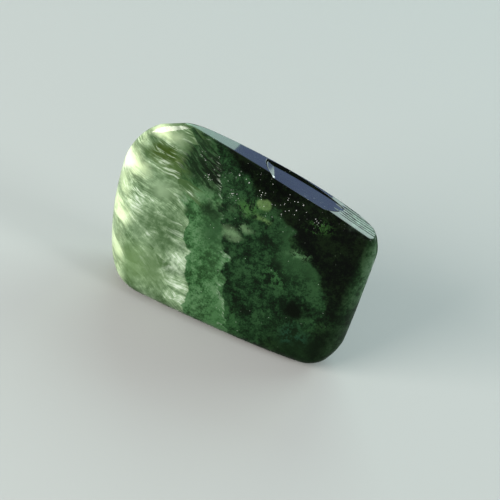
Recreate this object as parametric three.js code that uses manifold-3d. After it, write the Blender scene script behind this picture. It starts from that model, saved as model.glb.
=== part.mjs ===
// A tumbled seraphinite: one pebble of green stone, worn round in a tumbling barrel and polished,
// standing on the narrow flat along its lower edge. Its upper edge was ground flat after the
// rounding, so that facet keeps crisp edges, and a shallow flake has sprung off it.
//
// Millimetres, +Z up. +X runs along the stone and its broad front face looks along -Y.
// The origin is on the surface that the stone stands on, under the middle of its bounding box.

import * as THREE from "three";
import { mergeVertices } from "three/addons/utils/BufferGeometryUtils.js";
import Module from "manifold-3d";

// Driving dimensions of the pebble
const LENGTH = 27;
const HEIGHT = 19;
const BASE_THICKNESS = 8.4;
const FRONT_LEAN = 10; // degrees that the front face leans back from upright
const BACK_LEAN = 10; // degrees that the back face leans forward
const BASE_WEAR = 1.7; // how far up the foot is rounded
const FOOT_CUT = 0.03; // how much the foot was ground off, so that it stands on a true flat
const SWELL_HEIGHT = 0.05; // unevenness of the worn sides

// The ground facet along the upper edge
const FACET_SLOPE = 0.1; // fall for each millimetre to the right
const FACET_DOME = 95; // radius of its surface, which is almost flat
const FACET_MIDDLE = 2; // x of the middle of the keen edges beside it
const KEEN_REACH = 5; // half the length over which those edges stay fully keen
const KEENNESS = 0.6; // share of the wear that they were spared

// The flake that sprang off the facet
const FLAKE_LENGTH = 8.8;
const FLAKE_WIDTH = 5.2;
const FLAKE_DEPTH = 0.22; // at its left end
const FLAKE_X = 3.6;
const FLAKE_Y = 0.9;
const FLAKE_BEND = 0.15; // rounding of the scar's inner corner
const FLAKE_BACK_X = 2.3; // where the scar reaches furthest back
const FLAKE_BACK_Y = 1.3;
const FLAKE_BACK_ARC = 25; // radius of its back edge

// Fineness of the faceted surface
const BALL_DETAIL = 17; // splits along each edge of the starting icosahedron
const FLAKE_SEGMENTS = 36;
const BACK_ARC_SEGMENTS = 180;
const SLAB_SEGMENTS = 22;

// Colour and polish of the whole stone, seen from a step away
const STONE_GREEN = 0x2f5a30;
const STONE_ROUGHNESS = 0.12;

const { degToRad, smoothstep } = THREE.MathUtils;
const halfLength = LENGTH / 2;
const halfBase = BASE_THICKNESS / 2;
const belly = 0.45 * HEIGHT;
const heart = new THREE.Vector3(0, 0, HEIGHT / 2);

// One worn side of the pebble is a patch of a large dome. `crown` is a point that the dome passes
// through, `out` the way it looks there, `dome` its radius, and `wear` how far in from an edge the
// tumbling has rounded it over.
function side(crown, out, dome, wear) {
  const facing = new THREE.Vector3(...out).normalize();
  const centre = new THREE.Vector3(...crown).addScaledVector(facing, -dome);
  return { centre, dome, wear };
}

const frontLean = Math.tan(degToRad(FRONT_LEAN));
const backLean = Math.tan(degToRad(BACK_LEAN));

const sides = [
  side([1, 0.9 - halfBase, belly], [-0.02, -1, frontLean], 90, 2), // front
  side([0, halfBase - 0.3, belly], [0.03, 1, backLean], 90, 1.5), // back
  side([6, halfBase - 0.9, 5], [0.22, 1, -0.06], 70, 1.6), // back, worn flatter to the right
  side([0, halfBase, 1.2], [0, 0.75, -0.66], 60, 1.4), // back, worn in towards the foot
  side([-5, 0.6, HEIGHT + 1.7], [0.1, 0.02, 1], 100, 1.4), // top, before it was ground
  side([-halfLength - 0.3, 0, 10.5], [-1, 0, -0.14], 40, 2.8), // left end
  side([halfLength - 0.4, 0, 8], [1, 0, 0.05], 160, 1.7), // right end
  side([0.2 - halfLength, 0.8, HEIGHT - 0.5], [-0.75, 0, 0.66], 38, 1.7), // upper left corner
  side([1.1 - halfLength, -0.3, 1.4], [-0.75, -0.1, -0.7], 32, 1.4), // lower left corner
  side([halfLength - 1.6, 1, HEIGHT - 3], [0.75, 0.2, 0.75], 40, 1.1), // upper right corner
  side([halfLength - 1, -0.3, 1.2], [0.75, 0, -0.7], 40, 1.2), // lower right corner
];

// Shallow swells, a few millimetres across, that uneven wear has left all over the stone.
function swell({ x, y, z }) {
  const along = Math.sin(x / 2.7 + z / 4.3 + y / 3);
  const across = Math.sin(z / 2.2 - x / 5.1 - y / 2 + 2);
  return SWELL_HEIGHT * (along + across);
}

// How far a point lies outside the worn pebble: below zero inside, zero on its skin. Only the
// sides that are nearer than their own wear count, so the middle of each keeps its dome.
function outside(point) {
  const high = smoothstep(point.z, HEIGHT / 2, HEIGHT);
  const central = 1 - smoothstep(Math.abs(point.x - FACET_MIDDLE), KEEN_REACH, halfLength);
  const worn = 1 - KEENNESS * high * central;
  let sum = Math.max(0, 1 - point.z / BASE_WEAR) ** 2;
  for (const { centre, dome, wear } of sides) {
    const height = point.distanceTo(centre) - dome - swell(point);
    sum += Math.max(0, 1 + height / (wear * worn)) ** 2;
  }
  return Math.sqrt(sum) - 1;
}

// The point of the skin in one direction from the heart of the stone, found by halving.
function skinPoint(direction) {
  let inner = 0;
  let outer = LENGTH;
  const point = new THREE.Vector3();
  for (let halving = 0; halving < 48; halving++) {
    const middle = (inner + outer) / 2;
    point.copy(heart).addScaledVector(direction, middle);
    if (outside(point) < 0) inner = middle;
    else outer = middle;
  }
  return point;
}

// Only the positions of a three.js geometry, with the vertices that touch merged into one.
function closed(geometry) {
  geometry.deleteAttribute("normal");
  geometry.deleteAttribute("uv");
  return mergeVertices(geometry);
}

// A ball of near-equal triangles, pushed out or in to the pebble's skin.
function wornPebble() {
  const geometry = closed(new THREE.IcosahedronGeometry(1, BALL_DETAIL));
  const position = geometry.getAttribute("position");
  const direction = new THREE.Vector3();
  for (let i = 0; i < position.count; i++) {
    direction.fromBufferAttribute(position, i);
    direction.set(direction.x * halfLength, direction.y * halfBase, direction.z * (HEIGHT / 2));
    const point = skinPoint(direction.normalize());
    position.setXYZ(i, point.x, point.y, point.z);
  }
  return geometry;
}

// The ground facet's height over a place on the stone.
const facet = side([-4.5, 0.9, HEIGHT + 0.3], [FACET_SLOPE, 0.02, 1], FACET_DOME, 0);
function facetHeight(x, y) {
  const { centre, dome } = facet;
  return centre.z + Math.sqrt(dome ** 2 - (x - centre.x) ** 2 - (y - centre.y) ** 2);
}

// What was ground off: a slab that is hollowed underneath to the facet's dome.
function groundAway() {
  const box = new THREE.BoxGeometry(LENGTH + 6, BASE_THICKNESS + 4, 2, SLAB_SEGMENTS, 8, 1);
  const slab = closed(box);
  const position = slab.getAttribute("position");
  for (let i = 0; i < position.count; i++) {
    const under = position.getZ(i) < 0;
    const height = facetHeight(position.getX(i), position.getY(i));
    position.setZ(i, under ? height : HEIGHT + 6);
  }
  return slab;
}

// What was ground off the foot: everything below its flat.
function groundOffFoot() {
  const slab = new THREE.BoxGeometry(LENGTH + 6, BASE_THICKNESS + 4, 4);
  slab.translate(0, 0, FOOT_CUT - 2);
  return closed(slab);
}

// An oval chip, thickest at its left end, where it leaves a steep curved wall, and running out level
// with the facet at its right end.
function flake() {
  const leftEnd = FLAKE_X - FLAKE_LENGTH / 2;
  const rightEnd = FLAKE_X + FLAKE_LENGTH / 2;
  const scarLeft = facetHeight(leftEnd, FLAKE_Y) - FLAKE_DEPTH;
  const slope = (facetHeight(rightEnd, FLAKE_Y) - scarLeft) / FLAKE_LENGTH;
  const oval = new THREE.Shape();
  oval.absellipse(0, 0, FLAKE_LENGTH / 2 - FLAKE_BEND, FLAKE_WIDTH / 2 - FLAKE_BEND, 0, 2 * Math.PI);
  const chip = new THREE.ExtrudeGeometry(oval, {
    depth: 3,
    curveSegments: FLAKE_SEGMENTS,
    bevelThickness: FLAKE_BEND,
    bevelSize: FLAKE_BEND,
    bevelSegments: 3,
  });
  chip.translate(FLAKE_LENGTH / 2, 0, FLAKE_BEND);
  chip.rotateY(-Math.atan(slope));
  chip.translate(leftEnd, FLAKE_Y, scarLeft);
  return closed(chip);
}

// How far back the chip goes. It stops just short of the facet's back edge and leaves a lip there.
function flakeReach() {
  const radius = FLAKE_BACK_ARC;
  const reach = new THREE.CylinderGeometry(radius, radius, 2 * HEIGHT, BACK_ARC_SEGMENTS);
  reach.rotateX(Math.PI / 2);
  reach.translate(FLAKE_BACK_X, FLAKE_BACK_Y - radius, HEIGHT);
  return closed(reach);
}

const wasm = await Module();
wasm.setup();

function solid(geometry) {
  const vertProperties = new Float32Array(geometry.getAttribute("position").array);
  const triVerts = new Uint32Array(geometry.index.array);
  return new wasm.Manifold(new wasm.Mesh({ numProp: 3, vertProperties, triVerts }));
}

function geometryOf(manifold) {
  const mesh = manifold.getMesh();
  const geometry = new THREE.BufferGeometry();
  geometry.setAttribute("position", new THREE.BufferAttribute(mesh.vertProperties, 3));
  geometry.setIndex(new THREE.BufferAttribute(mesh.triVerts, 1));
  return geometry;
}

// The stone's bounding box is brought over the origin, with its flat on the ground.
function stoodAtOrigin(geometry) {
  geometry.computeBoundingBox();
  const middle = geometry.boundingBox.getCenter(new THREE.Vector3());
  return geometry.translate(-middle.x, -middle.y, -geometry.boundingBox.min.z);
}

const ground = solid(wornPebble()).subtract(solid(groundAway()));
const chip = solid(flake()).intersect(solid(flakeReach()));
const flaked = ground.subtract(chip);
const footed = flaked.subtract(solid(groundOffFoot()));
const stone = new THREE.Mesh(
  stoodAtOrigin(geometryOf(footed)),
  new THREE.MeshStandardMaterial({ color: STONE_GREEN, roughness: STONE_ROUGHNESS, metalness: 0 }),
);
stone.name = "tumbled_stone";

const group = new THREE.Group();
group.add(stone);

export default group;
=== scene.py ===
# %% [markdown]
# # A tumbled seraphinite
#
# One polished pebble of a green mineral stands on its narrow lower edge. Seraphinite gets its name
# from silvery fibres that spread like feathers, and the whole look of the stone is in them: bright
# silk on the left, ragged fronts where one growth of fibres ends and a darker one begins, and a
# clear gloss over everything. This script shows how to make such a stone from a worn form, a solid
# texture that runs right through it, and a coat of polish.

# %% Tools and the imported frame
import math

import bmesh
import bpy
import numpy as np
from mathutils import Matrix, Vector
from mathutils.bvhtree import BVHTree


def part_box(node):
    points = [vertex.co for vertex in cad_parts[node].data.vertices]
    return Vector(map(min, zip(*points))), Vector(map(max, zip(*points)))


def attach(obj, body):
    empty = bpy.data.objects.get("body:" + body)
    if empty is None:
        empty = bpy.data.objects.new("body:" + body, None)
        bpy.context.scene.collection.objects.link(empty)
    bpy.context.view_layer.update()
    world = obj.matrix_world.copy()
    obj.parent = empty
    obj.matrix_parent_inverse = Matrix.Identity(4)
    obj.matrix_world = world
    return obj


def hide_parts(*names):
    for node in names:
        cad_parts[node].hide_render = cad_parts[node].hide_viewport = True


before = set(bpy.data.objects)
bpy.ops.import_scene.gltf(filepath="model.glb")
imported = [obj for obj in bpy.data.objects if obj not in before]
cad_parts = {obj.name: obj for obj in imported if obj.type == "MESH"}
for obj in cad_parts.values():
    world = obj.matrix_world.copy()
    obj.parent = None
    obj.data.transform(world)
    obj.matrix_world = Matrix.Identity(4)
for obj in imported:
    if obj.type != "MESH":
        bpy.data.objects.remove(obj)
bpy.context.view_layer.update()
stone_low, stone_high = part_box("tumbled_stone")
MM = 0.001
print("stone in the frame, mm:", [round(edge / MM, 2) for edge in stone_high - stone_low])

# %% [markdown]
# ## The camera
#
# The picture was taken from 38 degrees above the ground with the camera rolled, so that the
# stone's long edge runs down to the right. A camera could be turned by hand until it looks right,
# but it is easier to repeat and to check when it is worked out: a direction to look back along, a
# roll about that direction, and a distance. Its length of lens then follows from how large one
# millimetre of stone is in the picture.

# %% Camera
PICTURE = 500
ELEVATION = math.radians(38)
ROLL = math.radians(22.5)
DISTANCE = 170 * MM
PIXELS_PER_MM = 10
AIM = Vector((0, 0, 8.5)) * MM
AIM_PIXEL = (237.5, 245)
SENSOR_MM = 36


def make_camera():
    data = bpy.data.cameras.new("camera")
    data.sensor_width = SENSOR_MM
    data.lens = SENSOR_MM * PIXELS_PER_MM * DISTANCE / MM / PICTURE
    data.clip_start = 10 * MM
    camera = bpy.data.objects.new("camera", data)
    back = Vector((0, -math.cos(ELEVATION), math.sin(ELEVATION)))
    level = Vector((1, 0, 0))
    upright = back.cross(level)
    across = level * math.cos(ROLL) + upright * math.sin(ROLL)
    up = upright * math.cos(ROLL) - level * math.sin(ROLL)
    turn = Matrix((across, up, back)).transposed()
    beside = across * (PICTURE / 2 - AIM_PIXEL[0]) - up * (PICTURE / 2 - AIM_PIXEL[1])
    place = AIM + back * DISTANCE + beside * MM / PIXELS_PER_MM
    camera.matrix_world = Matrix.Translation(place) @ turn.to_4x4()
    bpy.context.collection.objects.link(camera)
    bpy.context.scene.camera = camera
    return data.lens


print("lens, mm:", round(make_camera(), 1))

# %% [markdown]
# ## The form of the pebble
#
# A tumbling barrel wears a stone evenly: each side becomes a patch of a very large dome, and the
# edges between the sides round over. It could be sculpted, or a cube could be subdivided, but both
# lose the exact sides of the solid in the frame. So the same named sides are repeated here as a
# formula that says how far a point lies outside the stone. A fine ball is then pushed in to where
# that distance is zero. All its numbers are millimetres, as in the solid.

# %% Dimensions of the worn sides
LENGTH = 27
HEIGHT = 19
BASE_THICKNESS = 8.4
FRONT_LEAN = 10
BACK_LEAN = 10
BASE_WEAR = 1.7
FOOT_CUT = 0.03
SWELL_HEIGHT = 0.05
FRONT_WEAR = 2
half_length = LENGTH / 2
half_base = BASE_THICKNESS / 2
belly = 0.45 * HEIGHT
front_lean = math.tan(math.radians(FRONT_LEAN))
back_lean = math.tan(math.radians(BACK_LEAN))


def side(crown, out, dome, wear):
    """One worn side: the centre and radius of its dome, and how far in its edges are rounded."""
    facing = Vector(out).normalized()
    return np.array(Vector(crown) - dome * facing), dome, wear


SIDES = [
    side((1, 0.9 - half_base, belly), (-0.02, -1, front_lean), 90, FRONT_WEAR),  # front
    side((0, half_base - 0.3, belly), (0.03, 1, back_lean), 90, 1.5),  # back
    side((6, half_base - 0.9, 5), (0.22, 1, -0.06), 70, 1.6),  # back, worn flatter to the right
    side((0, half_base, 1.2), (0, 0.75, -0.66), 60, 1.4),  # back, worn in towards the foot
    side((-5, 0.6, HEIGHT + 1.7), (0.1, 0.02, 1), 100, 1.4),  # top, before it was ground
    side((-half_length - 0.3, 0, 10.5), (-1, 0, -0.14), 40, 2.8),  # left end
    side((half_length - 0.4, 0, 8), (1, 0, 0.05), 160, 1.7),  # right end
    side((0.2 - half_length, 0.8, HEIGHT - 0.5), (-0.75, 0, 0.66), 38, 1.7),  # upper left corner
    side((1.1 - half_length, -0.3, 1.4), (-0.75, -0.1, -0.7), 32, 1.4),  # lower left corner
    side((half_length - 1.6, 1, HEIGHT - 3), (0.75, 0.2, 0.75), 40, 1.1),  # upper right corner
    side((half_length - 1, -0.3, 1.2), (0.75, 0, -0.7), 40, 1.2),  # lower right corner
]
print("worn sides:", len(SIDES))

# %% Distance outside the worn pebble
FACET_MIDDLE = 2
KEEN_REACH = 5
KEENNESS = 0.6


def smooth(value, low, high):
    """0 below low, 1 above high, and an even rise between them."""
    share = np.clip((value - low) / (high - low), 0, 1)
    return share * share * (3 - 2 * share)


def worn_pebble(points):
    """Distance outside the pebble as it was before the facet was ground."""
    x, y, z = points.T
    along = np.sin(x / 2.7 + z / 4.3 + y / 3)
    across = np.sin(z / 2.2 - x / 5.1 - y / 2 + 2)
    swell = SWELL_HEIGHT * (along + across)
    high = smooth(z, HEIGHT / 2, HEIGHT)
    central = 1 - smooth(abs(x - FACET_MIDDLE), KEEN_REACH, half_length)
    spared = 1 - KEENNESS * high * central
    total = np.maximum(0, 1 - z / BASE_WEAR) ** 2
    for centre, dome, wear in SIDES:
        height = np.linalg.norm(points - centre, axis=1) - dome - swell
        total += np.maximum(0, 1 + height / (wear * spared)) ** 2
    return (np.sqrt(total) - 1) * FRONT_WEAR * spared


print("share of the rounding left at the keen upper edge:", 1 - KEENNESS)

# %% [markdown]
# ## The ground facet and the sprung flake
#
# After the rounding, the upper edge was ground to a narrow facet, which is why its edges are so
# much crisper than the others. A shallow flake then sprang off it and left a scar like a thumb
# print: a steep curved wall at its left end, a small tilted flat beside that wall, and a thin lip
# of facet left standing behind it. Booleans would cut all this, but they leave knife edges that
# never catch the light. With distances, two forms meet through a small rounding of their own, so
# each edge gets a thin line of light.

# %% Facet and flake
FACET_SLOPE = 0.1
FACET_DOME = 95
FACET_CREST = (-4.5, 0.9, HEIGHT + 0.3)
EDGE_ROUNDING = 0.13
LEFT_ROUNDING = 0.12
FLAKE_LENGTH = 8.8
FLAKE_WIDTH = 5.2
FLAKE_DEPTH = 0.22
FLAKE_X = 3.6
FLAKE_Y = 0.9
FLAKE_BEND = 0.15
FLAKE_BACK_X = 2.3
FLAKE_BACK_Y = 1.3
FLAKE_BACK_ARC = 25
BACK_BEND = 0.06
LIP_ROUNDING = 0.05
TILTED_SLOPE = 0.12
TILTED_EDGE = 0.37
TILTED_SKEW = 0.255
facet_centre, _, _ = side(FACET_CREST, (FACET_SLOPE, 0.02, 1), FACET_DOME, 0)


def facet_height(x, y):
    """Height of the ground facet over a place on the stone."""
    fall = (x - facet_centre[0]) ** 2 + (y - facet_centre[1]) ** 2
    return facet_centre[2] + math.sqrt(FACET_DOME**2 - fall)


def meet(one, other, rounding):
    """Distance outside the part that two forms share, with the edge between them rounded."""
    near_one = np.maximum(0, 1 + one / rounding)
    near_other = np.maximum(0, 1 + other / rounding)
    return (np.hypot(near_one, near_other) - 1) * rounding


left_end = FLAKE_X - FLAKE_LENGTH / 2
right_end = FLAKE_X + FLAKE_LENGTH / 2
scar_left = facet_height(left_end, FLAKE_Y) - FLAKE_DEPTH
scar_slope = (facet_height(right_end, FLAKE_Y) - scar_left) / FLAKE_LENGTH


def flake_seat(points):
    """Distance outside the chip that sprang off: an oval that stops short of the facet's back edge."""
    x, y, z = points.T
    half_size = np.array((FLAKE_LENGTH / 2, FLAKE_WIDTH / 2))
    scaled = np.stack((x - FLAKE_X, y - FLAKE_Y), 1) / half_size
    size = np.linalg.norm(scaled, axis=1) + 1e-9
    beside = (size - 1) * size / np.linalg.norm(scaled / half_size, axis=1)
    behind = np.hypot(x - FLAKE_BACK_X, y - FLAKE_BACK_Y + FLAKE_BACK_ARC) - FLAKE_BACK_ARC
    rise = TILTED_SLOPE * np.maximum(0, TILTED_EDGE - TILTED_SKEW * y - x)
    below = scar_left + (x - left_end) * scar_slope + rise - z
    return meet(meet(beside, below, FLAKE_BEND), behind, BACK_BEND)


def outside(points):
    """Distance outside the finished stone, below zero inside it."""
    ground = np.linalg.norm(points - facet_centre, axis=1) - FACET_DOME
    softer_left = smooth(-points[:, 0], 1, 8) * LEFT_ROUNDING
    stone = meet(worn_pebble(points), ground, EDGE_ROUNDING + softer_left)
    flaked = meet(stone, -flake_seat(points), LIP_ROUNDING)
    return np.maximum(flaked, FOOT_CUT - points[:, 2])


print("slope of the scar's floor along the stone:", round(scar_slope, 3))

# %% [markdown]
# ## Fine mesh where the light needs it
#
# The flat faces need few triangles, but the rounded facet edge, the scar and the corner ridges are
# only tenths of a millimetre wide. Halving every edge of the ball just once more would cost over
# three hundred thousand triangles. Instead the edges are halved only near those features, twice
# for the finest, and every new point is pushed to the skin as well.

# %% Ball pushed to the stone's skin
BALL_STEPS = 7
HALVINGS = 32
FACET_REACH = 1
FLAKE_REACH = 0.25
CORNER_FROM = (6.5, -1, 13)
heart = np.array((0, 0, HEIGHT / 2))
stretch = np.array((half_length, half_base, HEIGHT / 2))


def skin(directions):
    """The stone's surface points in the given directions from its heart."""
    directions = directions / np.linalg.norm(directions, axis=1)[:, None]
    inner = np.zeros(len(directions))
    outer = np.full(len(directions), float(LENGTH))
    for _ in range(HALVINGS):
        middle = (inner + outer) / 2
        inside = outside(heart + directions * middle[:, None]) < 0
        inner = np.where(inside, middle, inner)
        outer = np.where(inside, outer, middle)
    return heart + directions * inner[:, None]


def positions(mesh):
    return np.array([vertex.co for vertex in mesh.verts], float)


def settle(mesh):
    """Pushes every point of the mesh to the skin."""
    for vertex, point in zip(mesh.verts, skin(positions(mesh) - heart)):
        vertex.co = point


def refine(mesh, wanted):
    """Halves the edges whose two ends are both wanted."""
    mesh.verts.index_update()
    edges = [edge for edge in mesh.edges if wanted[edge.verts[0].index] and wanted[edge.verts[1].index]]
    bmesh.ops.subdivide_edges(mesh, edges=edges, cuts=1, use_grid_fill=True)
    bmesh.ops.triangulate(mesh, faces=[face for face in mesh.faces if len(face.verts) > 3])
    settle(mesh)


def near_facet(points):
    """Points close to the facet, over its edges included."""
    return np.linalg.norm(points - facet_centre, axis=1) > FACET_DOME - FACET_REACH


def near_corner(points):
    """Points on the upper right corner, where the stone's layers show as ridges."""
    return (points > CORNER_FROM).all(1)


def near_flake(points):
    return flake_seat(points) < FLAKE_REACH


stone_mesh = bmesh.new()
bmesh.ops.create_icosphere(stone_mesh, subdivisions=BALL_STEPS, radius=1)
for vertex in stone_mesh.verts:
    vertex.co = Vector(heart + np.array(vertex.co) * stretch)
settle(stone_mesh)
for near_feature in (near_facet, near_flake):
    points = positions(stone_mesh)
    refine(stone_mesh, near_feature(points) | near_corner(points))
print("triangles in the fine stone:", len(stone_mesh.faces))

# %% [markdown]
# ## Layers at the corner
#
# Seraphinite splits into thin layers like mica, parallel to the broad face. Where the corner is
# rounded across them, tumbling has picked out their ends as three or four fine ridges. They are
# real relief, so they are moved into the mesh instead of being faked with a bump.

# %% Ridges on the upper right corner
RIDGE_SPACING = 0.7
RIDGE_HEIGHT = 0.06


def corner_mask(points):
    """1 where the ridges stand out, 0 away from the corner."""
    x, y, z = points.T
    out = smooth(x + 0.35 * (z - 16), 7, 9.5)
    return out * smooth(z, 12.5, 14.5) * smooth(y, -0.75, -0.35)


def add_ridges(mesh):
    """Sinks the grooves between the layers, so that their ends stay, and says how deep they are."""
    points = positions(mesh)
    x, y, z = points.T
    layer = (y + 0.12 * np.sin(0.9 * x + 0.7 * z)) / RIDGE_SPACING
    step = layer - np.floor(layer)
    groove = smooth(step, 0, 0.8) * (1 - smooth(step, 0.8, 1)) * corner_mask(points) * RIDGE_HEIGHT
    outward = (points - heart) / np.linalg.norm(points - heart, axis=1)[:, None]
    for vertex, point in zip(mesh.verts, points - outward * groove[:, None]):
        vertex.co = point
    return float(groove.max())


print("deepest groove, mm:", round(add_ridges(stone_mesh), 3))

# %% [markdown]
# ## Into the frame
#
# The solid was stood with the middle of its box over the origin. The fine stone is moved the same
# way, onto the box that the frame gives, and then set against the solid: the largest gap between
# the two tells whether the formula here still is the solid's own. Measuring every seventh point
# is enough for that.

# %% Stone object
GAP_STEP = 7


def stand_in_frame(mesh):
    """Turns millimetres into metres, brings the stone over the solid and says how far it moved."""
    points = positions(mesh) * MM
    low = points.min(0)
    high = points.max(0)
    middle = (low + high) / 2
    target = (np.array(stone_low) + np.array(stone_high)) / 2
    move = np.array((target[0] - middle[0], target[1] - middle[1], stone_low[2] - low[2]))
    for vertex, point in zip(mesh.verts, points + move):
        vertex.co = point
    return move / MM


shift = stand_in_frame(stone_mesh)
print("moved into the frame by, mm:", shift.round(3))
stone_data = bpy.data.meshes.new("polished_stone")
stone_mesh.to_mesh(stone_data)
stone_mesh.free()
stone_data.shade_smooth()
stone = bpy.data.objects.new("polished_stone", stone_data)
bpy.context.collection.objects.link(stone)
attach(stone, "root")
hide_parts("tumbled_stone")

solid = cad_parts["tumbled_stone"]
solid_tree = BVHTree.FromPolygons(
    [vertex.co for vertex in solid.data.vertices],
    [face.vertices for face in solid.data.polygons],
)
sampled = list(stone_data.vertices)[::GAP_STEP]
gaps = [solid_tree.find_nearest(vertex.co)[3] / MM for vertex in sampled]
print("gap to the solid, mm: largest", round(max(gaps), 3), "mean", round(sum(gaps) / len(gaps), 4))

# %% [markdown]
# ## A shorter way to wire a material
#
# The stone's material has hundreds of nodes. They could be placed in the shader editor by hand;
# written as code, they can be read in order and repeated with other values. A small class keeps
# that short: each of its steps adds one node, links what it is given and hands back the result. An
# effect that is used in several places becomes a node group with named sockets.

# %% Wires and effects
def paint(red, green, blue):
    """A colour given as 0 to 255, as the amounts of light that a shader mixes."""
    shares = np.array((red, green, blue)) / 255
    light = np.where(shares <= 0.04045, shares / 12.92, ((shares + 0.055) / 1.055) ** 2.4)
    return (*(float(value) for value in light), 1)


class Wires:
    """Adds nodes to one tree, linked to what they are given."""

    def __init__(self, tree):
        self.tree = tree

    def node(self, kind, **settings):
        """A new node of a kind, with its settings."""
        made = self.tree.nodes.new(kind)
        for name, value in settings.items():
            setattr(made, name, value)
        return made

    def feed(self, socket, value):
        """Links a socket to another node's output, or sets it to a constant."""
        if isinstance(value, bpy.types.NodeSocket):
            self.tree.links.new(value, socket)
        else:
            socket.default_value = value

    def fill(self, made, *values):
        """Feeds a node's inputs in order and gives its first output."""
        for socket, value in zip(made.inputs, values):
            self.feed(socket, value)
        return made.outputs[0]

    def math(self, operation, *values):
        return self.fill(self.node("ShaderNodeMath", operation=operation), *values)

    def times(self, one, other):
        return self.math("MULTIPLY", one, other)

    def scaled(self, value, factor, added):
        """value times factor, plus added."""
        return self.math("MULTIPLY_ADD", value, factor, added)

    def vector(self, operation, *values):
        return self.fill(self.node("ShaderNodeVectorMath", operation=operation), *values)

    def dot(self, one, other):
        made = self.node("ShaderNodeVectorMath", operation="DOT_PRODUCT")
        self.fill(made, one, other)
        return made.outputs["Value"]

    def parts(self, place):
        """The x, y and z of a place, or the red, green and blue of a colour."""
        made = self.node("ShaderNodeSeparateXYZ")
        self.feed(made.inputs[0], place)
        return made.outputs

    def joined(self, x, y, z):
        return self.fill(self.node("ShaderNodeCombineXYZ"), x, y, z)

    def noise(self, place, size, detail=3, roughness=0.5, colour=False):
        """Soft random values of 0 to 1 whose lumps are about size millimetres wide."""
        made = self.node("ShaderNodeTexNoise")
        self.feed(made.inputs["Vector"], place)
        made.inputs["Scale"].default_value = 1 / size
        made.inputs["Detail"].default_value = detail
        made.inputs["Roughness"].default_value = roughness
        return made.outputs["Color" if colour else "Fac"]

    def rise(self, value, low, high):
        """0 below low, 1 above high, smooth between."""
        made = self.node("ShaderNodeMapRange", interpolation_type="SMOOTHSTEP")
        self.fill(made, value, low, high)
        return made.outputs[0]

    def mix(self, share, first, second, blend="MIX"):
        """The first colour at share 0, the second at share 1."""
        made = self.node("ShaderNodeMix", data_type="RGBA", blend_type=blend)
        self.feed(made.inputs[0], share)
        self.feed(made.inputs[6], first)
        self.feed(made.inputs[7], second)
        return made.outputs[2]

    def ramp(self, value, *stops):
        """A colour that runs through the stops, each a place from 0 to 1 and a colour."""
        made = self.node("ShaderNodeValToRGB")
        points = made.color_ramp.elements
        points[0].position, points[0].color = stops[0]
        points[1].position, points[1].color = stops[-1]
        for place, colour in stops[1:-1]:
            points.new(place).color = colour
        self.feed(made.inputs[0], value)
        return made.outputs[0]

    def use(self, group, **values):
        """Places an effect and feeds its named sockets."""
        made = self.node("ShaderNodeGroup", node_tree=group)
        for name, value in values.items():
            self.feed(made.inputs[name], value)
        return made.outputs


def effect(name, inputs, outputs):
    """An empty effect with named sockets. Inputs are numbers, or places where a default has three."""
    tree = bpy.data.node_groups.new(name, "ShaderNodeTree")
    for label, default in inputs.items():
        kind = "NodeSocketVector" if isinstance(default, tuple) else "NodeSocketFloat"
        tree.interface.new_socket(label, in_out="INPUT", socket_type=kind).default_value = default
    for label in outputs:
        tree.interface.new_socket(label, in_out="OUTPUT", socket_type="NodeSocketFloat")
    wires = Wires(tree)
    wires.given = wires.node("NodeGroupInput").outputs
    wires.result = wires.node("NodeGroupOutput").inputs
    return wires


print("a middle grey as light:", round(paint(128, 128, 128)[0], 3))

# %% [markdown]
# ## Silky fibres
#
# The silver of this mineral is a sheaf of thin mica-like fibres that fan out from one point, here
# far beyond the left end. A stretched wave texture would repeat, and a noise stretched along X would
# run dead straight. So a first effect lays the stone out in the fan's own terms: how far along a
# fibre a point lies, and which fibre it is on. The fibres also grow in bundles, like the barbs of a
# feather, and each bundle leans a little its own way, so a stretched Voronoi pattern gives every
# bundle a lean and a tone. A second effect draws streaks in that layout, broad ones or single hairs.

# %% Effects: feather fan and silky streaks
FAN_X = -56
FAN_Z = 24
FAN_RADIUS = 50
BUNDLE_LENGTH = 5
BUNDLE_WIDTH = 1.5
BUNDLE_DEPTH = 2.4


def feather_fan():
    """A place in the fan's terms. Beyond says how far it lies past the middle of its bundle."""
    w = effect("feather_fan", {"Place": (0, 0, 0)}, ["Along", "Across", "Depth", "Tone", "Beyond"])
    place = w.given[0]
    sway = w.math("SUBTRACT", w.noise(place, 6, 1), 0.5)
    wave = w.math("SUBTRACT", w.noise(place, 1.6, 2), 0.5)
    x, y, z = w.parts(place)
    over = w.math("SUBTRACT", x, FAN_X)
    up = w.math("SUBTRACT", z, FAN_Z)
    along = w.math("SQRT", w.scaled(over, over, w.times(up, up)))
    turn = w.times(w.math("ARCTAN2", up, over), FAN_RADIUS)
    swayed = w.scaled(wave, 0.5, w.scaled(sway, 1.2, turn))
    cells = w.node("ShaderNodeTexVoronoi")
    cells.inputs["Scale"].default_value = 1
    laid_out = w.joined(
        w.math("DIVIDE", along, BUNDLE_LENGTH),
        w.math("DIVIDE", y, BUNDLE_DEPTH),
        w.math("DIVIDE", swayed, BUNDLE_WIDTH),
    )
    w.feed(cells.inputs["Vector"], laid_out)
    lean, tone, _ = w.parts(cells.outputs["Color"])
    middle = w.times(w.parts(cells.outputs["Position"])[0], BUNDLE_LENGTH)
    beyond = w.math("SUBTRACT", along, middle)
    leaning = w.times(beyond, w.scaled(lean, 0.6, -0.3))
    w.feed(w.result["Along"], along)
    w.feed(w.result["Across"], w.math("ADD", swayed, leaning))
    w.feed(w.result["Depth"], y)
    w.feed(w.result["Tone"], tone)
    w.feed(w.result["Beyond"], beyond)
    return w.tree


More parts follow.
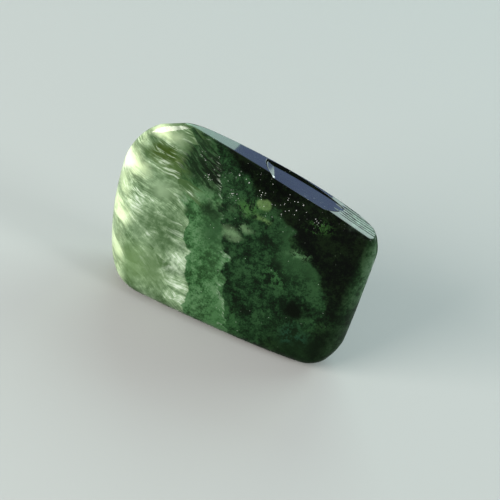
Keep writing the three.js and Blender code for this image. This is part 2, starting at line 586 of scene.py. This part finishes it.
def silky_streaks():
    """Streaks of any width and length in the fan's layout."""
    inputs = {"Along": 0, "Across": 0, "Depth": 0, "Width": 1, "Length": 6}
    w = effect("silky_streaks", inputs, ["Streaks"])
    along, across, depth, width, length = (w.given[i] for i in range(5))
    laid_out = w.joined(
        w.math("DIVIDE", along, length),
        w.math("DIVIDE", depth, w.times(width, 3)),
        w.math("DIVIDE", across, width),
    )
    w.feed(w.result["Streaks"], w.rise(w.noise(laid_out, 1, 3, 0.6), 0.3, 0.7))
    return w.tree


fan = feather_fan()
streaks = silky_streaks()
print("fan and streak nodes:", len(fan.nodes), len(streaks.nodes))

# %% [markdown]
# ## Growth fronts
#
# Where one sheaf of fibres stops and the next, darker one begins, the border is a row of small
# rounded lobes with notches between them, like the edge of a feather, and the fibre ends catch the
# light just inside it. A painted line would be easy but would not run through the stone to its
# back. A border that is part of a ragged ball does: the distance from its middle decides which side
# a point is on, arches added to that distance make the lobes, and a very large ball makes a border
# that is nearly flat.

# %% Effect: growth front
def growth_front():
    """Past is 1 beyond the front, Rim 1 just before it, and Depth the distance past it."""
    inputs = {"Place": (0, 0, 0), "Centre": (0, 0, 0), "Radius": 5, "Lobe": 2.6}
    inputs.update({"Ragged": 0.7, "Softness": 0.07})
    w = effect("growth_front", inputs, ["Past", "Rim", "Depth"])
    place, centre, radius, lobe, ragged, softness = (w.given[i] for i in range(6))
    _, y, z = w.parts(place)
    bend = w.math("SUBTRACT", w.noise(place, 3.4, 3), 0.5)
    bumpy = w.math("SUBTRACT", w.noise(place, 0.7, 3, 0.6), 0.5)
    uneven = w.rise(w.noise(place, 2.1, 1), 0.35, 0.65)
    apart = w.node("ShaderNodeVectorMath", operation="DISTANCE")
    w.fill(apart, place, centre)
    even = w.math("SUBTRACT", apart.outputs["Value"], radius)
    beside = w.scaled(y, 0.5, w.scaled(bend, 4.2, z))
    turned = w.times(beside, math.pi)
    arch = w.math("ABSOLUTE", w.math("SINE", w.math("DIVIDE", turned, lobe)))
    frill_size = w.times(lobe, 0.36)
    frill = w.math("ABSOLUTE", w.math("SINE", w.math("DIVIDE", turned, frill_size)))
    lobes = w.times(w.scaled(frill, 0.14, arch), uneven)
    lobed = w.scaled(w.times(lobes, ragged), -0.9, even)
    waved = w.scaled(bend, w.times(ragged, 3.2), lobed)
    depth = w.scaled(bumpy, 0.6, waved)
    past = w.rise(depth, w.times(softness, -1), softness)
    w.feed(w.result["Past"], past)
    near = w.rise(depth, -0.7, -0.05)
    w.feed(w.result["Rim"], w.times(near, w.math("SUBTRACT", 1, past)))
    w.feed(w.result["Depth"], depth)
    return w.tree


front = growth_front()
print("growth front nodes:", len(front.nodes))

# %% [markdown]
# ## Patches, mottling and glints
#
# Between the fronts the stone is a felt of tiny flakes: soft mottling, a few clouds and leaves of
# paler green, and single flakes that flash, whose flashes are painted in as glints. A patch is a
# ragged ball inside the stone, so it also shows wherever the surface cuts it. The glints are one
# speck in each cell of a fine Voronoi pattern, kept only in a share of the cells.

# %% Effects: patch, mottling and glints
def ragged_patch():
    """1 inside a ball with a ragged skin, 0 outside."""
    inputs = {"Place": (0, 0, 0), "Centre": (0, 0, 0), "Spread": (1, 1, 1)}
    inputs.update({"Ragged": 0.5, "Softness": 0.3})
    w = effect("ragged_patch", inputs, ["Mask"])
    place, centre, spread, ragged, softness = (w.given[i] for i in range(5))
    stray = w.vector("SUBTRACT", w.noise(place, 1.1, 3, colour=True), (0.5, 0.5, 0.5))
    strayed = w.vector("MULTIPLY_ADD", stray, w.joined(ragged, ragged, ragged), place)
    reach = w.vector("DIVIDE", w.vector("SUBTRACT", strayed, centre), spread)
    length = w.node("ShaderNodeVectorMath", operation="LENGTH")
    w.feed(length.inputs[0], reach)
    fade = w.rise(length.outputs["Value"], w.math("SUBTRACT", 1, softness), 1)
    w.feed(w.result["Mask"], w.math("SUBTRACT", 1, fade))
    return w.tree


def flaky_mottling():
    """Soft mottling from 0 to 1, with finer lumps on the large ones."""
    w = effect("flaky_mottling", {"Place": (0, 0, 0), "Size": 2}, ["Tone"])
    place, size = w.given[0], w.given[1]
    scaled = w.vector("DIVIDE", place, w.joined(size, size, size))
    w.feed(w.result["Tone"], w.rise(w.noise(scaled, 1, 6, 0.62), 0.28, 0.72))
    return w.tree


def flake_glints():
    """Single specks, in the given share of the cells."""
    inputs = {"Place": (0, 0, 0), "Spacing": 0.3, "Share": 0.1, "Size": 0.3}
    w = effect("flake_glints", inputs, ["Mask"])
    place, spacing, share, size = (w.given[i] for i in range(4))
    cells = w.node("ShaderNodeTexVoronoi")
    w.feed(cells.inputs["Vector"], w.vector("DIVIDE", place, w.joined(spacing, spacing, spacing)))
    cells.inputs["Scale"].default_value = 1
    near = w.math("SUBTRACT", 1, w.rise(cells.outputs["Distance"], w.times(size, 0.6), size))
    kept = w.math("LESS_THAN", w.parts(cells.outputs["Color"])[0], share)
    w.feed(w.result["Mask"], w.times(near, kept))
    return w.tree


patch = ragged_patch()
mottling = flaky_mottling()
glints = flake_glints()
print("effects:", [group.name for group in bpy.data.node_groups])

# %% [markdown]
# ## The stone from left to right
#
# A polished stone could be painted on its outside, but then its streaks would smear round the
# edges. Here each point asks where it lies inside the stone, in millimetres, and the zones follow
# each other along the growth: bright silk, moss green, deeper green, a clouded dark, and a last
# zone that is nearly black. Every colour below is given as a 0 to 255 triple. The last
# value is no colour of a zone: it darkens the whole stone a little, as polish and depth do.

# %% Colours of the zones
SILK_SHADE = paint(56, 82, 48)
SILK = paint(92, 118, 84)
SILK_LIGHT = paint(128, 154, 118)
SILVER = paint(196, 212, 192)
# painted sheen of the silk, and below it a painted highlight
PAINTED_SHEEN = paint(216, 236, 188)
PAINTED_HIGHLIGHT = paint(246, 252, 244)
BARK = paint(44, 64, 8)
STRAW = paint(160, 180, 118)
OLIVE = paint(80, 104, 52)
SAPWOOD = paint(50, 76, 38)
SAP = paint(104, 134, 84)
MOSS_LOW = paint(30, 58, 29)
MOSS = paint(49, 89, 49)
MOSS_HIGH = paint(77, 114, 75)
DEEP_LOW = paint(8, 20, 8)
DEEP = paint(16, 40, 19)
DEEP_HIGH = paint(36, 66, 37)
SHADE_LOW = paint(4, 12, 3)
SHADE = paint(12, 30, 12)
SHADE_HIGH = paint(28, 52, 26)
NIGHT_LOW = paint(0, 2, 0)
NIGHT = paint(2, 8, 1)
NIGHT_HIGH = paint(10, 22, 6)
LEAF = paint(88, 118, 66)
CLOUD = paint(98, 128, 90)
VIVID = paint(50, 88, 40)
TEAL = paint(26, 58, 42)
ICE = paint(120, 146, 128)
WISP = paint(84, 112, 76)
# white for painted glints and one painted highlight
PAINTED_GLINT = paint(255, 255, 255)
SOAKED = (0.86, 0.86, 0.86, 1)
print("moss green as light:", [round(share, 3) for share in MOSS[:3]])

# %% [markdown]
# ## Streaks and tones
#
# Every zone is coloured from the same few patterns: streaks of three widths that follow the fan,
# and a mottling of three sizes. Each zone could have noise of its own, but then its texture would
# stop dead at every border, and in the stone the same felt of fibres goes on under all of them.

# %% Patterns that all zones share
stone_material = bpy.data.materials.new("seraphinite_polish")
stone_material.use_nodes = True
w = Wires(stone_material.node_tree)
surface = stone_material.node_tree.nodes["Principled BSDF"]
coordinates = w.node("ShaderNodeTexCoord")
place = w.vector("SCALE", coordinates.outputs["Object"])
place.node.inputs["Scale"].default_value = 1 / MM
x, y, z = w.parts(place)
facing = w.parts(coordinates.outputs["Normal"])
feather = w.use(fan, Place=place)


def count_nodes(step):
    """Prints how many nodes the stone's material has after a step."""
    print("nodes with", step + ":", len(stone_material.node_tree.nodes))


def drawn(layout, width, length):
    """Streaks of one width and length, in millimetres, in a feather's layout."""
    chosen = {name: layout[name] for name in ("Along", "Across", "Depth")}
    return w.use(streaks, Width=width, Length=length, **chosen)["Streaks"]


broad = drawn(feather, 1.5, 8)
fine = drawn(feather, 0.3, 3)
hair = drawn(feather, 0.11, 1.4)
clouds = w.use(mottling, Place=place, Size=2.6)["Tone"]
felt = w.use(mottling, Place=place, Size=0.55)["Tone"]
grain = w.use(mottling, Place=place, Size=0.17)["Tone"]
mottled = w.scaled(grain, 0.26, w.scaled(felt, 0.34, w.times(clouds, 0.4)))
tone = w.rise(mottled, 0.13, 0.88)
strands = w.rise(fine, 0.5, 0.85)
around_strands = w.scaled(strands, -0.6, 1)
count_nodes("the patterns")

# %% Brightness of the silk
hairs = w.scaled(fine, 0.55, w.times(hair, 0.45))
in_clouds = w.scaled(w.rise(clouds, 0.2, 0.75), 0.5, 0.25)
higher_up = w.scaled(w.rise(z, 8.5, 12), 0.5, 0.5)
combed = w.times(w.math("SUBTRACT", hairs, 0.5), w.times(in_clouds, higher_up))
bundled = w.scaled(feather["Tone"], 0.16, combed)
softened = w.scaled(felt, 0.18, w.scaled(clouds, 0.34, bundled))
silk = w.scaled(w.scaled(broad, 0.26, softened), 1.4, -0.24)
bright_bundles = w.times(w.rise(fine, 0.45, 0.85), w.rise(feather["Tone"], 0.45, 0.75))
tips = w.times(w.rise(feather["Beyond"], 0.2, 2.2), bright_bundles)
dense = w.scaled(w.rise(w.scaled(combed, 1.3, broad), 0.1, 0.9), 0.75, 0.25)
count_nodes("the silk's brightness")

# %% [markdown]
# ## Where the zones begin
#
# The fronts lie nearly upright across the stone and lean a little, as they do on the real piece.
# Each is a very large ball of the growth front effect, so it runs through to the back. Two more
# borders round the pattern off: a shadow that follows the ground facet from below, and a disc of
# deep green low on the right, in which the dark zone stops.

# %% Fronts and the first colours
FLAT_RADIUS = 400
GROWTH = (1, 0.35, 0.2)
LEANING_GROWTH = (1, 0.35, 0.34)
FACET_DOWNWARD = (0.62, 0.1, 1)


def nearly_flat(facing, reach, lobe, ragged, softness=0.07):
    """A front that faces one way and lies so many millimetres out from the stone's origin."""
    out = Vector(facing).normalized()
    shape = {"Centre": tuple(out * (reach - FLAT_RADIUS)), "Radius": FLAT_RADIUS}
    return w.use(front, Place=place, Lobe=lobe, Ragged=ragged, Softness=softness, **shape)


front_a = nearly_flat(GROWTH, -3.7, 2.7, 0.5)
front_b = nearly_flat(LEANING_GROWTH, 0.95, 3.1, 0.85, 0.14)
front_c = nearly_flat(GROWTH, 5.9, 2.4, 0.6, 0.25)
facet_shade = nearly_flat(FACET_DOWNWARD, 13.9, 2.3, 0.6, 0.4)
disc = w.use(front, Place=place, Centre=(5, -3.2, 6.8), Radius=5, Lobe=2.2, Ragged=0.7, Softness=0.3)

silk_zone = w.ramp(silk, (0.08, SILK_SHADE), (0.36, SILK), (0.62, SILK_LIGHT), (0.95, SILVER))
deep_zone = w.ramp(tone, (0.15, DEEP_LOW), (0.5, DEEP), (0.9, DEEP_HIGH))
shade_zone = w.ramp(tone, (0.15, SHADE_LOW), (0.5, SHADE), (0.9, SHADE_HIGH))
night_zone = w.ramp(tone, (0.15, NIGHT_LOW), (0.5, NIGHT), (0.9, NIGHT_HIGH))
count_nodes("the fronts")

# %% [markdown]
# ## One colour laid into another
#
# Clouds, shades and glows lie inside the stone and fade into what is round them. Painted on, each
# would need its own drawing. A ragged ball of colour is placed with a few numbers instead, and it
# shows on every side that cuts it. Another helper lightens a zone towards its growth front.

# %% Ways to lay one colour into another
def lit_front(colour, growing, light, strength):
    """Lightens a zone towards the front where its fibres end."""
    near = w.rise(growing["Depth"], -2.4, 0)
    return w.mix(w.times(w.times(near, near), strength), colour, light)


def ball(centre, spread, ragged, softness):
    """1 inside a ragged ball, 0 outside."""
    shape = {"Centre": centre, "Spread": spread, "Ragged": ragged, "Softness": softness}
    return w.use(patch, Place=place, **shape)["Mask"]


def laid(colour, light, strength, centre, spread, ragged=1.6, softness=0.6, over=None):
    """Lays a ragged ball of another colour into the stone, only where over is high."""
    mask = ball(centre, spread, ragged, softness)
    if over is not None:
        mask = w.times(mask, over)
    return w.mix(w.times(mask, strength), colour, light)


print("sockets of a patch:", [socket.name for socket in patch.interface.items_tree])

# %% [markdown]
# ## Silk on the left
#
# The left third is nearly all silver silk. Its sheen is not even: where the fibres stand square to
# the light they shine almost white, along the left end in three places and on the upper corner, and
# where they dip away they turn sage or olive, with one brown-green streak near the top. Anisotropic
# gloss would give such a sheen from one side only, so the sheen and the highlight on the upper
# corner are painted into the colour, broken up by the same streaks, and hold from all sides. A
# last, fainter painted sheen follows the rim where the surface turns to the left.

# %% Sage, olive and bark
sage_mask = w.scaled(tone, -0.7, 1.1)
silk_zone = laid(silk_zone, SAP, 0.6, (-8.5, -3, 4.2), (4.4, 5, 3.4), softness=0.9)
silk_zone = laid(silk_zone, SILK_SHADE, 0.5, (-7.2, -3.4, 5), (2.4, 4, 3), ragged=2, softness=1)
silk_zone = laid(
    silk_zone, SILK_SHADE, 0.9, (-7.4, -2.6, 8.8), (4.4, 5, 2.8), softness=0.9, over=sage_mask
)
silk_zone = laid(
    silk_zone, OLIVE, 0.85, (-8.2, -1, 15.7), (4.8, 5, 2.1), ragged=2.4, softness=1, over=around_strands
)
silk_zone = laid(
    silk_zone, BARK, 1, (-9.2, -0.6, 16), (3.2, 5, 1.5), ragged=2.4, softness=0.8, over=around_strands
)
count_nodes("the darker silk")

# %% Paler streaks, painted sheen and painted highlights of the silk
silk_zone = laid(silk_zone, SILK_LIGHT, 0.8, (-9.4, -0.6, 18.2), (4, 5, 1.4), ragged=2, softness=0.9)
# painted highlight: widens the gloss on the upper left corner
silk_zone = laid(silk_zone, PAINTED_SHEEN, 0.95, (-10.7, 0, 18), (2.6, 3, 1.1), ragged=1.4, softness=1)
silk_zone = laid(
    silk_zone, STRAW, 0.7, (-7.2, -1, 16.1), (2.2, 5, 0.9), ragged=2.4, softness=0.9, over=dense
)
silk_zone = laid(silk_zone, SILK_LIGHT, 0.8, (-8.9, -1.6, 12.5), (2.6, 4, 1.4), ragged=2, softness=1)
# painted sheen in three places along the left end, facing the window at the left front
silk_zone = laid(
    silk_zone, PAINTED_SHEEN, 0.9, (-12.6, -1.5, 8.4), (3, 4, 2.6), ragged=2.2, softness=1, over=dense
)
silk_zone = laid(
    silk_zone, PAINTED_SHEEN, 1, (-12.8, -0.4, 13.3), (3.2, 4, 1.9), ragged=2, softness=1, over=dense
)
silk_zone = laid(
    silk_zone, PAINTED_SHEEN, 0.6, (-11.5, -2.4, 3.6), (1.8, 4, 3), ragged=2, softness=1, over=dense
)
# painted highlight on the left end
silk_zone = laid(silk_zone, PAINTED_HIGHLIGHT, 0.9, (-13.3, -0.2, 13.2), (1.2, 2, 1.5), ragged=1.2, softness=1)
# painted sheen on the rim that faces left
turned_left = w.times(facing[0], -1)
painted_rim_sheen = w.times(w.rise(turned_left, 0.28, 0.6), dense)
silk_zone = w.mix(w.times(painted_rim_sheen, 0.4), silk_zone, PAINTED_SHEEN)
count_nodes("the glow")

# %% Silver fibre ends
silk_zone = laid(
    silk_zone, SILVER, 0.55, (-4.9, -3, 5.8), (1.7, 5, 2.6), ragged=2.8, softness=1, over=felt
)
tips_shown = w.scaled(w.rise(z, 7, 12), 0.45, 0.05)
silk_zone = w.mix(w.times(tips, tips_shown), silk_zone, SILVER)
low = w.math("SUBTRACT", 1, w.rise(z, 8, 12))
low_hairs = w.times(w.rise(hair, 0.3, 1), w.times(low, w.rise(clouds, 0.5, 1)))
silver_rim = w.times(w.times(front_a["Rim"], low_hairs), 0.25)
silk_zone = w.mix(silver_rim, silk_zone, SILVER)
count_nodes("the silver fibre ends")

# %% [markdown]
# ## Greens in the middle
#
# Past the silk the fibres lie deeper and show less, and the colour takes over: a moss green band,
# then a darker one. The upper part is shadowed under the facet, where fibres of a steeper fan
# still catch a little light. So the moss is mixed from the mottling, with the steeper streaks added
# only higher up.

# %% Moss band
steeper = w.use(fan, Place=w.joined(x, y, w.scaled(x, 0.27, z)))
wisps = drawn(steeper, 0.3, 2.6)
threads = w.rise(wisps, 0.45, 0.85)
upper = w.rise(z, 8.5, 12)
moss_tone = w.scaled(w.times(w.math("SUBTRACT", wisps, 0.5), upper), 0.3, tone)
moss_band = w.ramp(moss_tone, (0.15, MOSS_LOW), (0.5, MOSS), (0.9, MOSS_HIGH))
moss_zone = lit_front(moss_band, front_b, MOSS_HIGH, w.times(felt, 0.4))
# painted light: paler moss on the foot, which the lamps leave dim
moss_zone = laid(
    moss_zone, MOSS_HIGH, 0.7, (-1.6, -3.8, 2.4), (3, 4, 2.6), ragged=2, softness=1, over=tone
)
top_shade = w.times(w.rise(z, 13.4, 16), w.scaled(threads, -0.25, 0.92))
moss_zone = w.mix(top_shade, moss_zone, SHADE)
around_threads = w.scaled(threads, -0.5, 1)
moss_zone = laid(
    moss_zone, SHADE_LOW, 0.85, (-4, -1.2, 16.6), (3.8, 4, 2.4),
    ragged=2.4, softness=0.8, over=around_threads,
)
moss_zone = laid(moss_zone, DEEP_LOW, 0.75, (-3.5, -2.2, 12.9), (2.8, 3, 1.3), ragged=3.4, softness=1)
moss_zone = laid(moss_zone, DEEP_HIGH, 0.9, (-2.4, -2.8, 11), (2.6, 3, 3), ragged=2.6, softness=1)
count_nodes("the moss band")

# %% Deep green band
in_disc = w.times(w.rise(x, 6, 8.5), w.math("SUBTRACT", 1, disc["Past"]))
deep_zone = w.mix(upper, deep_zone, lit_front(deep_zone, front_c, DEEP_HIGH, 0.8))
deep_zone = lit_front(deep_zone, disc, MOSS, w.times(in_disc, w.times(felt, 0.2)))
count_nodes("the deep green band")

# %% [markdown]
# ## One zone after another
#
# Low on the stone the silk ends in a crisp lobed edge, but higher up its fibres run on into the
# moss like the barbs of a feather. One border can do both: with height, the tone of each bundle is
# added to the front's distance, so some bundles stop early and some late. The other zones are then
# mixed in from left to right, each by the mask of its own front.

# %% Zones mixed from left to right
high = w.rise(z, 10.5, 13.5)
fading = w.times(w.rise(front_a["Depth"], -3.4, 0), w.times(high, around_strands))
silk_zone = w.mix(w.times(fading, 0.8), silk_zone, SAPWOOD)
early_or_late = w.math("SUBTRACT", feather["Tone"], 0.5)
loose = w.scaled(early_or_late, 2.6, w.times(combed, 2.4))
feathered = w.scaled(loose, high, front_a["Depth"])
past_a = w.rise(feathered, w.scaled(high, -0.8, -0.07), w.scaled(high, 0.6, 0.07))
past_c = w.times(front_c["Past"], upper)
night = w.times(w.math("MAXIMUM", past_c, w.rise(x, 5.4, 6.4)), disc["Past"])
towards_corner = w.rise(w.dot(place, (0.74, 0, 0.67)), 12.4, 14.6)
dark_zone = w.mix(towards_corner, shade_zone, night_zone)
colour = w.mix(past_a, silk_zone, moss_zone)
colour = w.mix(front_b["Past"], colour, deep_zone)
colour = laid(
    colour, MOSS, 0.8, (1.3, -4, 2), (2.6, 4, 2.8), ragged=2.4, softness=0.8, over=tone
)
colour = w.mix(night, colour, dark_zone)
colour = w.mix(w.times(facet_shade["Past"], past_a), colour, night_zone)
count_nodes("all the zones")

# %% Dark foot, and painted light on the right end
teal_mask = w.rise(tone, 0.35, 0.7)
colour = laid(colour, SHADE, 0.8, (9, -3.8, 2.6), (5, 5, 3), ragged=2.4, softness=0.9)
colour = laid(colour, NIGHT, 0.9, (13.2, -3, 3.4), (3.4, 5, 3.8), ragged=2.4, softness=0.5)
colour = laid(
    colour, TEAL, 0.8, (8.6, -3.8, 3.6), (2.2, 3, 1.6), ragged=2.4, softness=0.9, over=teal_mask
)
colour = laid(colour, NIGHT, 1, (7.7, -3.5, 6.3), (2.2, 2, 2), ragged=2.8, softness=0.8)
# painted light: the dim right end is lightened towards moss green, more so higher up
painted_light_at_right_end = w.times(w.rise(x, 11.2, 13.2), w.scaled(w.rise(z, 6, 12), 0.65, 0.25))
colour = w.mix(painted_light_at_right_end, colour, moss_band)
count_nodes("the foot and the right end")

# %% [markdown]
# ## Clouds and leaves
#
# In the clear dark part of the middle a few growths are seen one by one: two pale wisps beside the
# silk, a vivid patch with one leaf at its corner, three small clouds below it, and fainter patches
# further right. Each is a ragged ball just under the surface, and the mottling or the threads break
# it up, so that it doesn't look stamped.

# %% Clouds and leaves
flecked = w.rise(tone, 0.3, 0.6)
cloudy = w.scaled(tone, 0.6, 0.45)
leafy = w.scaled(felt, 0.5, 0.5)
# the two wisps
colour = laid(colour, WISP, 0.35, (-4.8, -1.6, 14.9), (2, 3, 1), ragged=1.8, softness=1, over=threads)
colour = laid(colour, WISP, 0.3, (-2.9, -2, 13.9), (2, 3, 0.8), ragged=1.8, softness=1, over=threads)
# the vivid patch and its leaf
colour = laid(
    colour, VIVID, 0.9, (-0.2, -2, 14.8), (1.7, 2, 1.3), ragged=2, softness=0.9, over=flecked
)
colour = laid(
    colour, CLOUD, 0.5, (-0.3, -2, 14.6), (1.5, 2, 0.9), ragged=1.8, softness=1, over=threads
)
colour = laid(
    colour, LEAF, 0.9, (0.95, -1.8, 15.6), (0.8, 1.2, 0.7), ragged=0.6, softness=0.4, over=leafy
)
# the clouds below it
colour = laid(
    colour, CLOUD, 0.85, (-1.3, -2.7, 11.8), (1.1, 1.2, 0.9), ragged=1.6, softness=0.9, over=cloudy
)
colour = laid(
    colour, CLOUD, 0.8, (-0.4, -2.7, 11.5), (1.1, 1.2, 0.7), ragged=1.6, softness=0.9, over=cloudy
)
colour = laid(
    colour, CLOUD, 0.6, (0.2, -2.5, 12.6), (1.3, 1.2, 0.6), ragged=1.4, softness=0.9, over=flecked
)
# fainter patches further right
colour = laid(
    colour, LEAF, 0.6, (1.4, -2.1, 14.3), (1.2, 1.2, 0.5), ragged=1.2, softness=0.9, over=flecked
)
colour = laid(
    colour, MOSS, 0.7, (4.65, -3.3, 9.1), (1.8, 1.6, 1.4), ragged=2.4, softness=0.8, over=flecked
)
colour = laid(
    colour, MOSS_HIGH, 0.7, (6, -2.6, 12.2), (1.7, 1.4, 0.6), ragged=1.6, softness=1, over=flecked
)
colour = laid(
    colour, VIVID, 0.75, (7, -1.7, 15.6), (1.8, 1.6, 1.3), ragged=2, softness=1, over=flecked
)
count_nodes("clouds and leaves")

# %% [markdown]
# ## Painted glints
#
# Loose flakes inside the stone flash like dust in a sunbeam; here their flashes are painted into
# the colour as white and silver glints. Most of them sit in small clusters in the shadow under the
# facet and along the upper end of the first front; a sparse few are spread through the greens. One
# larger painted highlight lies on the facet, at the tip of the scar's curved wall. The upper right
# corner is icy pale, because there the thin layers end and scatter the light.

# %% Painted glints and highlight, and the icy corner
at_corner = ball((10.2, 0.1, 16.5), (3.4, 1.7, 1.5), 1.6, 0.9)
colour = w.mix(w.times(at_corner, w.scaled(felt, 0.7, 0.2)), colour, ICE)
# painted glints: white specks in clusters under the facet and near the first front
fine_glints = w.use(glints, Place=place, Spacing=0.16, Share=0.2, Size=0.3)["Mask"]
larger_glints = w.use(glints, Place=place, Spacing=0.4, Share=0.2, Size=0.2)["Mask"]
clustered = w.rise(w.noise(place, 1.3, 1), 0.46, 0.6)
specks = w.times(clustered, w.math("MAXIMUM", w.times(fine_glints, 0.8), larger_glints))
under_facet = ball((1.5, -1.4, 16.4), (8.5, 2.6, 2.6), 3.4, 1)
at_front = ball((-5.8, -1, 16.2), (2.2, 2.6, 2.4), 2, 1)
colour = w.mix(w.times(specks, w.math("MAXIMUM", under_facet, at_front)), colour, PAINTED_GLINT)
# painted highlight on the facet, at the tip of the scar's wall
colour = laid(colour, PAINTED_GLINT, 1, (0.74, -0.69, 18.41), (0.2, 0.2, 0.2), ragged=0.1, softness=0.6)
# painted glints, sparse and silver, through the greens
sparse = w.use(glints, Place=place, Spacing=0.4, Share=0.12, Size=0.12)["Mask"]
greens = w.times(past_a, w.scaled(night, -0.8, 1))
colour = w.mix(w.times(w.times(sparse, greens), 0.4), colour, SILVER)
rim_hairs = w.times(w.rise(hair, 0.55, 0.9), w.rise(clouds, 0.45, 0.8))
colour = w.mix(w.times(w.times(front_b["Rim"], rim_hairs), 0.4), colour, SILVER)
count_nodes("the flashes")

# %% [markdown]
# ## The polish
#
# Tumbled with ever finer grit, the stone ends with a gloss like glass over a body that is itself
# soft and silky. Two layers do that: a dull base that carries the colour, and a clear coat. In the
# black parts a full coat would show a grey veil of the pale floor, which the real stone doesn't
# have, so the coat is thin there and full on the silk and on the ground facet. A very low bump
# follows the fibres, since polish leaves them a trace prouder than what lies between.

# %% Coat, bump and the finished material
FACET_SKIN = (-0.34, -0.24)
UPWARD = (0.8, 0.92)
THINNEST_COAT = 0.1
from_dome = w.node("ShaderNodeVectorMath", operation="DISTANCE")
w.fill(from_dome, place, tuple(float(value) for value in facet_centre + shift))
near_dome = w.rise(from_dome.outputs["Value"], *(FACET_DOME + depth for depth in FACET_SKIN))
on_facet = w.times(near_dome, w.rise(facing[2], *UPWARD))
finished = w.mix(1, colour, SOAKED, blend="MULTIPLY")
w.feed(surface.inputs["Base Color"], finished)
w.feed(surface.inputs["Roughness"], w.scaled(fine, -0.12, 0.5))
surface.inputs["Specular IOR Level"].default_value = 0.03
lightness = w.node("ShaderNodeRGBToBW")
w.feed(lightness.inputs[0], finished)
silky = w.rise(lightness.outputs[0], 0.01, 0.2)
coat = w.math("MAXIMUM", on_facet, w.scaled(silky, 1 - THINNEST_COAT, THINNEST_COAT))
w.feed(surface.inputs["Coat Weight"], coat)
surface.inputs["Coat Roughness"].default_value = 0.04
surface.inputs["Coat IOR"].default_value = 1.5
bump = w.node("ShaderNodeBump")
bump.inputs["Strength"].default_value = 0.5
bump.inputs["Distance"].default_value = 0.03 * MM
w.feed(bump.inputs["Height"], w.scaled(fine, 0.6, felt))
w.feed(surface.inputs["Normal"], bump.outputs[0])
stone_data.materials.append(stone_material)
count_nodes("the coat and the bump")

# %% [markdown]
# ## A pale floor
#
# The stone stands on a plain pale surface, large enough that its edge never shows.

# %% Floor
FLOOR_HALF = 1.5
floor_data = bpy.data.meshes.new("pale_floor")
signs = ((-1, -1), (1, -1), (1, 1), (-1, 1))
corners = [(FLOOR_HALF * right, FLOOR_HALF * back, 0) for right, back in signs]
floor_data.from_pydata(corners, [], [(0, 1, 2, 3)])
floor = bpy.data.objects.new("pale_floor", floor_data)
bpy.context.collection.objects.link(floor)
floor_material = bpy.data.materials.new("pale_paper")
floor_material.use_nodes = True
paper = floor_material.node_tree.nodes["Principled BSDF"]
paper.inputs["Base Color"].default_value = (0.42, 0.42, 0.415, 1)
paper.inputs["Roughness"].default_value = 0.85
floor_data.materials.append(floor_material)
print("floor, m across:", 2 * FLOOR_HALF)

# %% [markdown]
# ## Studio light
#
# A polished stone shows its lights as clearly as its own colour. A bright window at the left front
# gives the highlight on the upper left corner and lights the silk, and a small softbox brightens
# the right end. Three pale panels stand side by side behind the stone, to be seen in the ground
# facet: the middle one is blue, so the facet runs from grey green through blue to grey green again.
# Each panel is set by the angles between which it is seen, because then two neighbours meet
# without a dark gap. The rest is an even, dim surround.

# %% Lights
LIGHT_AWAY = 0.35


def toward(azimuth, elevation):
    """A direction given in degrees: azimuth from behind the stone towards its right, elevation up."""
    turn = math.radians(azimuth)
    tilt = math.radians(elevation)
    return Vector((math.sin(turn) * math.cos(tilt), math.cos(turn) * math.cos(tilt), math.sin(tilt)))


def softbox(name, place, facing, width, height, glow, colour):
    """A rectangular area light that faces back along a direction, as bright as glow says."""
    data = bpy.data.lights.new(name, "AREA")
    data.shape = "RECTANGLE"
    data.size = width
    data.size_y = height
    data.energy = glow * math.pi * width * height
    data.color = colour
    lamp = bpy.data.objects.new(name, data)
    lamp.location = AIM + place
    lamp.rotation_euler = facing.to_track_quat("Z", "Y").to_euler()
    lamp.visible_camera = False
    bpy.context.collection.objects.link(lamp)


def window(name, left, right, low, high, glow, colour):
    """An upright panel that fills the view between two azimuths and two elevations."""
    half_turn = math.radians((right - left) / 2)
    width = 2 * LIGHT_AWAY * math.tan(half_turn)
    bottom = LIGHT_AWAY * math.tan(math.radians(low))
    top = LIGHT_AWAY * math.tan(math.radians(high))
    facing = toward((left + right) / 2, 0)
    place = facing * LIGHT_AWAY + Vector((0, 0, (top + bottom) / 2))
    softbox(name, place, facing, width, top - bottom, glow, colour)


window("key_window", -150, -112, 2, 38, 13, (1, 0.97, 0.9))
side_light = toward(98, 22)
softbox("side_softbox", side_light * LIGHT_AWAY, side_light, 0.1, 0.12, 14, (0.92, 1, 0.94))
window("window_left", -30, 5.5, 21, 52, 3.9, (0.68, 1, 0.92))
window("window_middle", 5.5, 18.5, 21, 52, 1.35, (0.24, 0.42, 1))
window("window_right", 18.5, 57, 21, 52, 4.5, (0.76, 1, 0.93))
world = bpy.data.worlds.new("surround")
world.use_nodes = True
world.node_tree.nodes["Background"].inputs["Color"].default_value = (0.9, 0.95, 1, 1)
world.node_tree.nodes["Background"].inputs["Strength"].default_value = 0.42
bpy.context.scene.world = world
bpy.context.scene.view_settings.view_transform = "Standard"
print("lights:", [item.name for item in bpy.data.lights])
